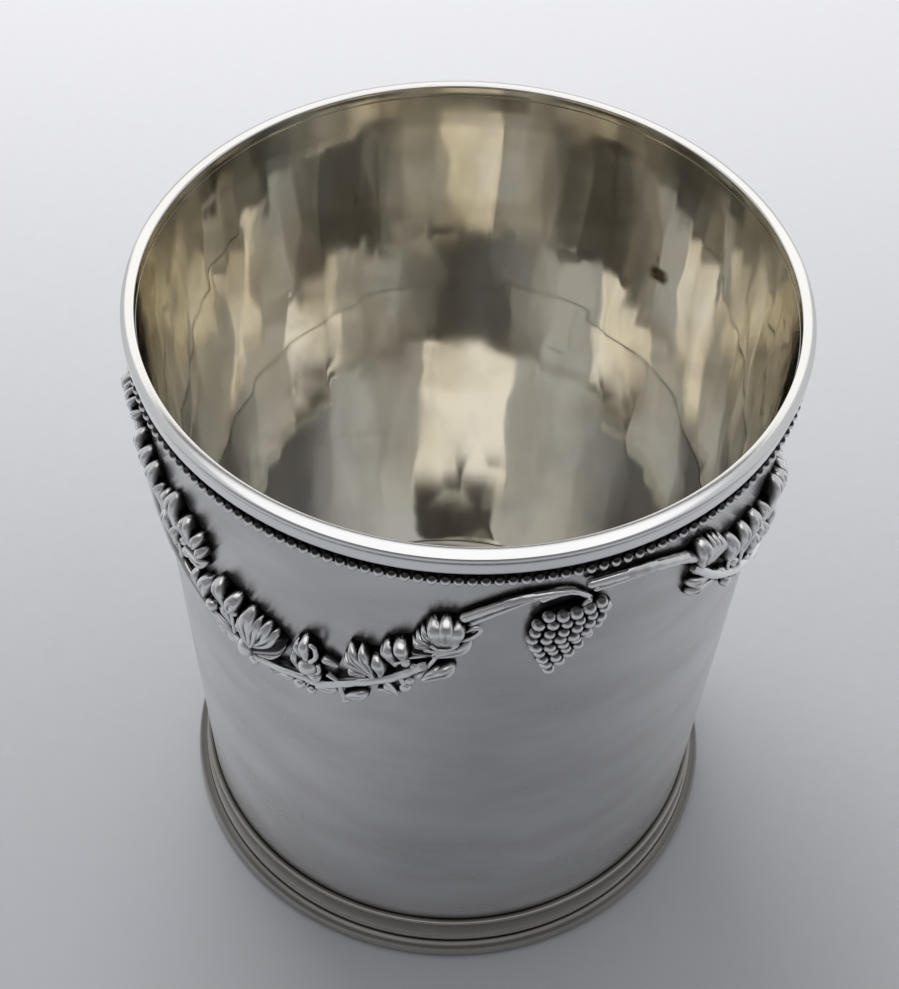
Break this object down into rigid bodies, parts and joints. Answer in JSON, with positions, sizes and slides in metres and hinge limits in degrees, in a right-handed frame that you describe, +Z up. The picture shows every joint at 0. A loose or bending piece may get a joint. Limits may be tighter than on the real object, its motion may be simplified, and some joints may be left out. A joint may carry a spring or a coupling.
{
  "type": "silver beaker",
  "caption": "Tapered silver drinking beaker with a rolled lip, a beaded strip, an applied vine garland with grapes and a moulded foot.",
  "frame": {"origin": "on the table, under the middle of the beaker", "axes": "+Z up along the beaker's axis, -Y towards the front, +X to the right of someone who looks at the front"},
  "size_m": [0.0788, 0.0795, 0.09],
  "materials": {
    "wall_silver": "hand-polished sheet silver, satin with fine wear scratches, warm tarnish inside",
    "lip_silver": "bright polished drawn moulding, dark in its hollow",
    "bead_silver": "rolled beads, bright on the crowns and oxidised between them",
    "garland_silver": "chased castings, bright on the crests and oxidised in the hollows",
    "foot_silver": "polished turned mouldings with wear on their edges"
  },
  "bodies": {
    "root": {"back_swag_arch_twig": "garland_silver", "back_swag_broad_leaf": "garland_silver", "back_swag_grapes": "garland_silver", "back_swag_left_buds": "garland_silver", "back_swag_left_lance_leaf": "garland_silver", "back_swag_left_long_leaf": "garland_silver", "back_swag_left_palm_leaf": "garland_silver", "back_swag_left_under_leaf": "garland_silver", "back_swag_left_vine_leaf": "garland_silver", "back_swag_long_bud": "garland_silver", "back_swag_middle_under_leaf": "garland_silver", "back_swag_right_buds": "garland_silver", "back_swag_right_palm_leaf": "garland_silver", "back_swag_right_under_leaf": "garland_silver", "back_swag_trident_leaf": "garland_silver", "back_swag_tucked_leaf": "garland_silver", "back_swag_tulip_leaf": "garland_silver", "back_swag_vine": "garland_silver", "base_disc": "wall_silver", "bead_strip": "bead_silver", "body_wall": "wall_silver", "foot_cove": "foot_silver", "foot_ring": "foot_silver", "left_swag_arch_twig": "garland_silver", "left_swag_broad_leaf": "garland_silver", "left_swag_grapes": "garland_silver", "left_swag_left_buds": "garland_silver", "left_swag_left_lance_leaf": "garland_silver", "left_swag_left_long_leaf": "garland_silver", "left_swag_left_palm_leaf": "garland_silver", "left_swag_left_under_leaf": "garland_silver", "left_swag_left_vine_leaf": "garland_silver", "left_swag_long_bud": "garland_silver", "left_swag_middle_under_leaf": "garland_silver", "left_swag_right_buds": "garland_silver", "left_swag_right_palm_leaf": "garland_silver", "left_swag_right_under_leaf": "garland_silver", "left_swag_trident_leaf": "garland_silver", "left_swag_tucked_leaf": "garland_silver", "left_swag_tulip_leaf": "garland_silver", "left_swag_vine": "garland_silver", "lip_moulding": "lip_silver", "right_swag_arch_twig": "garland_silver", "right_swag_broad_leaf": "garland_silver", "right_swag_grapes": "garland_silver", "right_swag_left_buds": "garland_silver", "right_swag_left_lance_leaf": "garland_silver", "right_swag_left_long_leaf": "garland_silver", "right_swag_left_palm_leaf": "garland_silver", "right_swag_left_under_leaf": "garland_silver", "right_swag_left_vine_leaf": "garland_silver", "right_swag_long_bud": "garland_silver", "right_swag_middle_under_leaf": "garland_silver", "right_swag_right_buds": "garland_silver", "right_swag_right_palm_leaf": "garland_silver", "right_swag_right_under_leaf": "garland_silver", "right_swag_trident_leaf": "garland_silver", "right_swag_tucked_leaf": "garland_silver", "right_swag_tulip_leaf": "garland_silver", "right_swag_vine": "garland_silver"}
  },
  "joints": []
}
